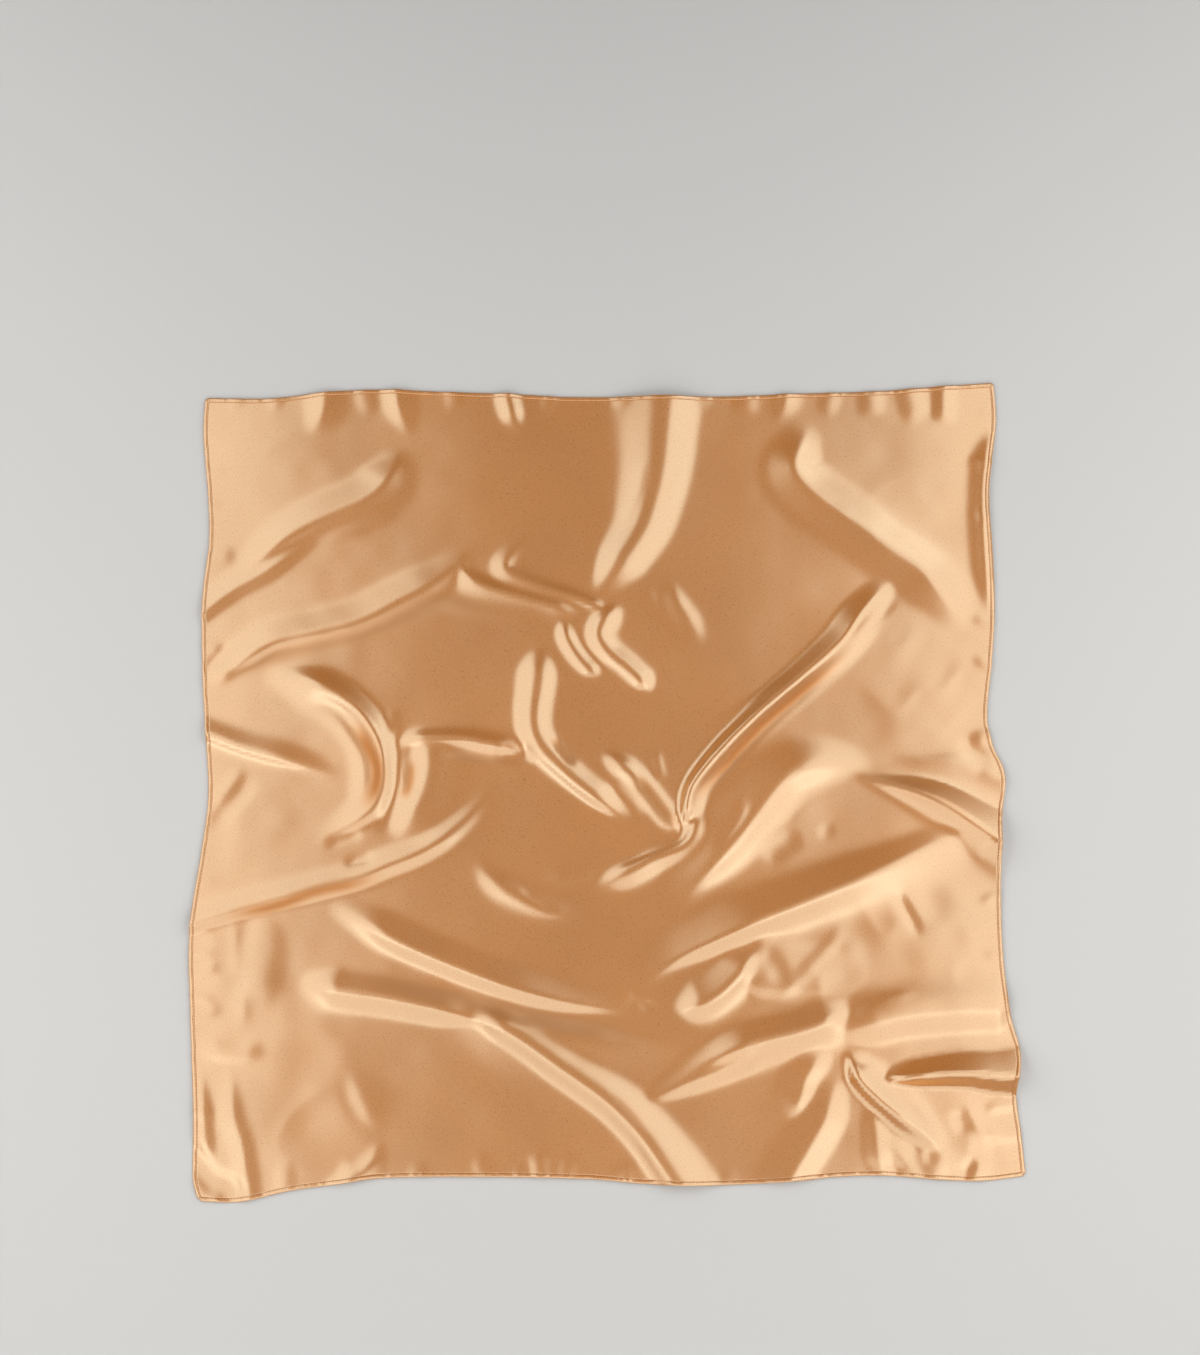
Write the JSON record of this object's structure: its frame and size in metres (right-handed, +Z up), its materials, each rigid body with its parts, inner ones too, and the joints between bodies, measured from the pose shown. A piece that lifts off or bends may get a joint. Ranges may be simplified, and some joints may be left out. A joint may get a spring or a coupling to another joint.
{
  "type": "satin scarf",
  "caption": "Square satin scarf with a narrow rolled hem, lying spread out flat with soft folds and wrinkles across it.",
  "frame": {"origin": "on the surface that the scarf lies on, under the middle of its outline", "axes": "+Z up from the surface, +Y towards the back edge of the scarf, +X towards its right edge"},
  "size_m": [0.687, 0.6908, 0.0109],
  "materials": {
    "satin": "warm gold satin weave, soft coloured sheen",
    "hem": "the same satin turned in a narrow rolled hem with tone-on-tone stitches"
  },
  "bodies": {
    "root": {"satin_panel": "satin", "hem_front": "hem", "hem_back": "hem", "hem_left": "hem", "hem_right": "hem"}
  },
  "joints": []
}
